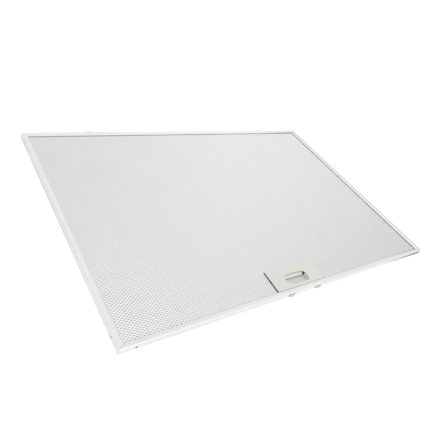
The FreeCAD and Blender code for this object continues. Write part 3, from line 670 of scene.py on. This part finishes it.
def spring_piece(node, sizes, material):
    """Round wire wound round a line along Y, in place of a CAD spring.

    At share t of the way, the middle line has gone round by t times the turns, at one radius, and on along Y
    by t times the rise. A ring of points stands across it at each step: the wire's radius times the cosine of
    the ring's angle outwards, and times its sine square to that and to the line. One face closes each end.
    """
    low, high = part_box(node)
    start = np.array(((low.x + high.x) / 2, low.y + sizes.wire, (low.z + high.z) / 2))
    radius = (high.x - low.x) / 2 - sizes.wire
    rise = high.y - low.y - 2 * sizes.wire
    part = np.linspace(0.0, 1.0, sizes.turns * STEPS_A_TURN + 1)
    sweep = FULL_TURN * sizes.turns
    angle = sweep * part
    outward = np.stack((np.cos(angle), np.zeros_like(angle), -np.sin(angle)), axis=1)
    middle = start + radius * outward + np.outer(part, (0.0, rise, 0.0))
    along = np.stack((-sweep * radius * np.sin(angle), np.full_like(angle, rise),
                      -sweep * radius * np.cos(angle)), axis=1)
    along /= np.linalg.norm(along, axis=1)[:, None]
    square = np.cross(along, outward)
    ring = FULL_TURN * np.arange(WIRE_SIDES)[:, None] / WIRE_SIDES
    points = middle[:, None] + sizes.wire * (np.cos(ring) * outward[:, None] + np.sin(ring) * square[:, None])
    index = np.arange(points.shape[0] * WIRE_SIDES).reshape(-1, WIRE_SIDES)
    after = np.roll(index, -1, axis=1)
    quads = np.stack((index[:-1], after[:-1], after[1:], index[1:]), axis=-1).reshape(-1, 4)
    faces = quads.tolist() + [index[0, ::-1].tolist(), index[-1].tolist()]
    name = node.replace("latch_", "wound_")
    piece = filter_piece(name, points.reshape(-1, 3), faces, material, node)
    piece.data.shade_smooth()
    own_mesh(piece)
    return piece


def sheet_spans(sizes, node, short_way):
    """Fields for the strands' middle lines: behind the latch plate, and on both sides of it up to the slits.

    They stay half a row, a quarter of the short way, inside the sheet's near and far edges.
    """
    low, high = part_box(node)
    left = (low.x, low.x)
    right = (high.x, high.x)
    near = low.y + short_way / 4
    far = high.y - short_way / 4
    plate_low, plate_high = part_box("latch_housing")
    behind = plate_high.y + sizes.slit_far
    left_cut = (plate_low.x - sizes.slit_near, plate_low.x - sizes.slit_far)
    right_cut = (plate_high.x + sizes.slit_near, plate_high.x + sizes.slit_far)
    return [(left, right, behind, far), (left, left_cut, near, behind), (right_cut, right, near, behind)]


def clip_span(span, low, high):
    """The part of a field between two depths, with its slanted edges followed."""
    left_edge, right_edge, y_low, y_high = span
    ends = (max(y_low, low), min(y_high, high))
    left = tuple(np.interp(ends, (y_low, y_high), left_edge))
    right = tuple(np.interp(ends, (y_low, y_high), right_edge))
    return left, right, ends[0], ends[1]


def sheet_bands(sizes, node, short_way, words):
    """The fields of a sheet, shared out over bands of equal depth from the handle edge to the far edge."""
    spans = sheet_spans(sizes, node, short_way)
    levels = np.linspace(min(span[2] for span in spans), max(span[3] for span in spans), len(words) + 1)
    for word, low, high in zip(words, levels[:-1], levels[1:]):
        parts = [clip_span(span, low, high) for span in spans]
        yield word, [part for part in parts if part[3] > part[2]]


def strand_metal(name, context):
    """Expanded aluminium: bare cut strands with a slow change of tone over the sheet."""
    base = tuple(context.scene.filter_finish.mesh_metal)
    return streaked_metal(name, base, STRAND_TONES, STRAND_ROUGHNESS, metallic=0.9)


class FILTER_OT_frame(Operator):
    """Finish the four folded channels, their corner keys and the rear lugs"""

    bl_idname = "filter.frame"
    bl_label = "Frame"

    def execute(self, context):
        finish = context.scene.filter_finish
        lines = context.scene.filter_lines
        foot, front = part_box("frame_front")
        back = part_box("frame_back")[0]
        right_low, right_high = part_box("frame_right")
        middle = (front.y + back.y) / 2
        metal = tuple(finish.frame_metal)

        def levels(names):
            """Foot of the frame, and top of the first of the named nodes."""
            return foot.z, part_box(names[0])[1].z

        # Painted shadow along the foot of the front and back walls, towards their right end.
        end_run = {"Near": lines.end_start, "Far": lines.end_full, "Reach": lines.end_height}
        # Painted shade along the inner edge of each flange, on the long and the short channels alike.
        dress(LONG_CHANNELS, rolled_metal(
            "channel aluminium, long", metal, levels(LONG_CHANNELS), middle=middle, foot_turn=QUARTER_TURN,
            cut={"Reach": back.y - middle}, edge_shade_tone=lines.long_edge_shade, foot=end_run, foot_shadow_tone=lines.end_foot_shadow))
        # Painted shadow along the foot of the side walls, faint towards the handle edge.
        side_run = {"Near": lines.side_start, "Far": lines.side_full, "Least": lines.side_least,
                    "Reach": lines.side_height}
        # Painted dark reflection on the right upper fold of the short channels.
        dress(SHORT_CHANNELS, rolled_metal(
            "channel aluminium, short", metal, levels(SHORT_CHANNELS), turn=QUARTER_TURN,
            cut={"Reach": right_low.x}, edge_shade_tone=lines.short_edge_shade, foot=side_run, foot_shadow_tone=lines.side_foot_shadow,
            fold={"Place": right_high.x - lines.fold_width}, fold_reflection_tone=lines.fold))
        dress(CORNER_KEYS, rolled_metal("corner key aluminium", tuple(finish.key_metal), levels(CORNER_KEYS)))
        dress(LUGS, rolled_metal("lug aluminium", tuple(finish.lug_metal), levels(LUGS)))
        return {"FINISHED"}


class FILTER_OT_foils(Operator):
    """Finish the crimped foils between the sheets"""

    bl_idname = "filter.foils"
    bl_label = "Foils"

    def execute(self, context):
        dress(FOILS, foil_metal("crimped foil", tuple(context.scene.filter_finish.foil_metal)))
        return {"FINISHED"}


class FILTER_OT_face_sheet(Operator):
    """Make the expanded sheet on the face, strand by strand"""

    bl_idname = "filter.face_sheet"
    bl_label = "Face sheet"

    def execute(self, context):
        sizes = context.scene.filter_sheets
        material = strand_metal("face sheet aluminium", context)
        low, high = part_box("face_mesh")
        for word, parts in sheet_bands(sizes, "face_mesh", sizes.short_way, ("near", "middle", "far")):
            blocks = [strand_block(part, high.z, sizes.long_way, sizes.short_way, sizes, sizes.lean, low.z)
                      for part in parts]
            strand_piece("face_sheet_" + word, blocks, material, "face_mesh")
        return {"FINISHED"}


class FILTER_OT_rear_sheet(Operator):
    """Make the expanded sheet on the far side, whose strands lean and point the other way up"""

    bl_idname = "filter.rear_sheet"
    bl_label = "Rear sheet"

    def execute(self, context):
        sizes = context.scene.filter_sheets
        material = strand_metal("rear sheet aluminium", context)
        low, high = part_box("rear_mesh")
        for word, parts in sheet_bands(sizes, "rear_mesh", sizes.rear_short_way, ("near", "far")):
            blocks = []
            for part in parts:
                points, quads, ends = strand_block(part, low.z, sizes.rear_long_way, sizes.rear_short_way,
                                                   sizes, -sizes.lean, high.z)
                blocks.append((points, quads[:, ::-1], ends[:, ::-1]))
            strand_piece("rear_sheet_" + word, blocks, material, "rear_mesh")
        return {"FINISHED"}


class FILTER_OT_latch(Operator):
    """Finish the latch: housing, slider and rear cover"""

    bl_idname = "filter.latch"
    bl_label = "Latch"

    def execute(self, context):
        finish = context.scene.filter_finish
        sizes = context.scene.filter_latch
        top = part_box("latch_housing")[1].z
        low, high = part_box("latch_slider")
        gaps = {"Middle": (low.x + high.x) / 2, "Lip half": sizes.lip_half, "Lip": low.y + sizes.lip_place,
                "Base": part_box("latch_rear_cover")[0].z + sizes.cover_skin, "Level": top - sizes.plate_skin}
        # The housing and the slider get painted shade in their gaps, the rear cover a lighter painted shadow
        # on its floor under the lip.
        finishes = (("latch_housing", finish.plate_plastic, sizes.rim_place, finish.gap_shade_tone),
                    ("latch_slider", finish.slider_plastic, sizes.rim_place, finish.gap_shade_tone),
                    ("latch_rear_cover", finish.cover_plastic, sizes.floor_place, finish.under_lip_shade_tone))
        for name, base, rim, gap_shade_tone in finishes:
            label = name.replace("_", " ") + " plastic"
            own_gaps = dict(gaps, Rim=low.y + rim)
            dress((name,), moulded_plastic(label, tuple(base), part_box(name)[1].z, own_gaps, gap_shade_tone))
        return {"FINISHED"}


class FILTER_OT_springs(Operator):
    """Wind the two springs that push the tongues out; in the real latch they shorten when it is pulled"""

    bl_idname = "filter.springs"
    bl_label = "Springs"

    def execute(self, context):
        base = tuple(context.scene.filter_finish.spring_steel)
        material = streaked_metal("spring wire", base, WIRE_TONES, WIRE_ROUGHNESS, metallic=1.0)
        for node in SPRINGS:
            spring_piece(node, context.scene.filter_latch, material)
        return {"FINISHED"}


def seen_directly(tree):
    """One for rays that the eye, a mirror or glass sends out, nothing for the rest."""
    path = add(tree, "ShaderNodeLightPath")
    first = combine(tree, "MAXIMUM", path.outputs["Is Camera Ray"], path.outputs["Is Glossy Ray"])
    return combine(tree, "MAXIMUM", first, path.outputs["Is Transmission Ray"])


def pale_floor(values):
    """A flat square just under the filter, brighter where it is seen directly."""
    side = np.linspace(-values.floor_half, values.floor_half, FLOOR_LINES)
    x, y = np.meshgrid(side, side)
    points = np.stack([x.ravel(), y.ravel(), np.full(x.size, cad_box[0].z - FLOOR_GAP)], axis=-1)
    index = np.arange(x.size).reshape(x.shape)
    quads = np.stack([index[:-1, :-1], index[:-1, 1:], index[1:, 1:], index[1:, :-1]], axis=-1).reshape(-1, 4)
    mesh = bpy.data.meshes.new("floor")
    mesh.from_pydata(points, [], quads.tolist())
    material = bpy.data.materials.new("pale floor")
    material.use_nodes = True
    tree = material.node_tree
    tree.nodes.clear()
    matt = add(tree, "ShaderNodeBsdfDiffuse", {"Color": (*values.floor_colour, 1.0)})
    glow = add(tree, "ShaderNodeEmission")
    tree.links.new(combine(tree, "MULTIPLY", seen_directly(tree), values.floor_lift), glow.inputs["Strength"])
    both = add(tree, "ShaderNodeAddShader")
    tree.links.new(matt.outputs["BSDF"], both.inputs[0])
    tree.links.new(glow.outputs["Emission"], both.inputs[1])
    output = add(tree, "ShaderNodeOutputMaterial")
    tree.links.new(both.outputs["Shader"], output.inputs["Surface"])
    mesh.materials.append(material)
    floor = bpy.data.objects.new("floor", mesh)
    bpy.context.scene.collection.objects.link(floor)


def light_tent(values):
    """Soft white light from all round that looks fully white where it is seen directly."""
    world = bpy.data.worlds.new("light tent")
    bpy.context.scene.world = world
    world.use_nodes = True
    tree = world.node_tree
    tree.nodes.clear()
    soft = add(tree, "ShaderNodeBackground", {"Color": WHITE, "Strength": values.tent})
    white = add(tree, "ShaderNodeBackground", {"Color": WHITE, "Strength": 1.0})
    mix = add(tree, "ShaderNodeMixShader")
    tree.links.new(seen_directly(tree), mix.inputs["Fac"])
    tree.links.new(soft.outputs["Background"], mix.inputs[1])
    tree.links.new(white.outputs["Background"], mix.inputs[2])
    output = add(tree, "ShaderNodeOutputWorld")
    tree.links.new(mix.outputs["Shader"], output.inputs["Surface"])


def soft_lamp(name, watts, spot, width):
    """A square lamp that faces the origin."""
    data = bpy.data.lights.new(name, "AREA")
    data.energy = watts
    data.size = width
    lamp = bpy.data.objects.new(name, data)
    lamp.location = spot
    lamp.rotation_mode = "QUATERNION"
    lamp.rotation_quaternion = (-Vector(spot)).to_track_quat("-Z", "Y")
    bpy.context.scene.collection.objects.link(lamp)


def main_camera(values):
    """The camera that takes the picture."""
    data = bpy.data.cameras.new("camera")
    data.sensor_width = SENSOR_WIDTH
    data.lens = values.lens
    data.clip_start = NEAR_CLIP
    data.clip_end = FAR_CLIP
    camera = bpy.data.objects.new("camera", data)
    camera.location = values.eye
    camera.rotation_euler = values.turn
    bpy.context.scene.collection.objects.link(camera)
    bpy.context.scene.camera = camera


class FILTER_OT_stage(Operator):
    """Set up the floor, the light tent, the lamps and the camera"""

    bl_idname = "filter.stage"
    bl_label = "Stage"

    def execute(self, context):
        values = context.scene.filter_stage
        context.scene.view_settings.view_transform = "Standard"
        pale_floor(values)
        light_tent(values)
        for name in LAMPS:
            soft_lamp(name + " lamp", getattr(values, name + "_power"), getattr(values, name + "_place"),
                      getattr(values, name + "_width"))
        main_camera(values)
        return {"FINISHED"}


STEPS = (FILTER_OT_frame, FILTER_OT_foils, FILTER_OT_face_sheet, FILTER_OT_rear_sheet, FILTER_OT_latch,
         FILTER_OT_springs, FILTER_OT_stage)
SETTINGS = {
    "filter_sheets": SheetSizes,
    "filter_latch": LatchSizes,
    "filter_lines": EdgeLines,
    "filter_finish": FinishColours,
    "filter_stage": StageValues,
}


class FILTER_PT_sidebar(Panel):
    """Lists the pieces and the values that shape them"""

    bl_idname = "FILTER_PT_sidebar"
    bl_label = "Grease filter"
    bl_space_type = "VIEW_3D"
    bl_region_type = "UI"
    bl_category = "Filter"

    def draw(self, context):
        for step in STEPS:
            self.layout.operator(step.bl_idname)
        for setting in SETTINGS:
            group = getattr(context.scene, setting)
            box = self.layout.box()
            for name in group.__annotations__:
                box.prop(group, name)


CLASSES = tuple(SETTINGS.values()) + STEPS + (FILTER_PT_sidebar,)


def register():
    for cls in CLASSES:
        bpy.utils.register_class(cls)
    for name, kind in SETTINGS.items():
        setattr(bpy.types.Scene, name, PointerProperty(type=kind))


def unregister():
    for name in SETTINGS:
        delattr(bpy.types.Scene, name)
    for cls in reversed(CLASSES):
        bpy.utils.unregister_class(cls)


def main():
    register()
    bpy.ops.filter.frame()
    bpy.ops.filter.foils()
    bpy.ops.filter.face_sheet()
    bpy.ops.filter.rear_sheet()
    bpy.ops.filter.latch()
    bpy.ops.filter.springs()
    bpy.ops.filter.stage()


if __name__ == "__main__":
    main()
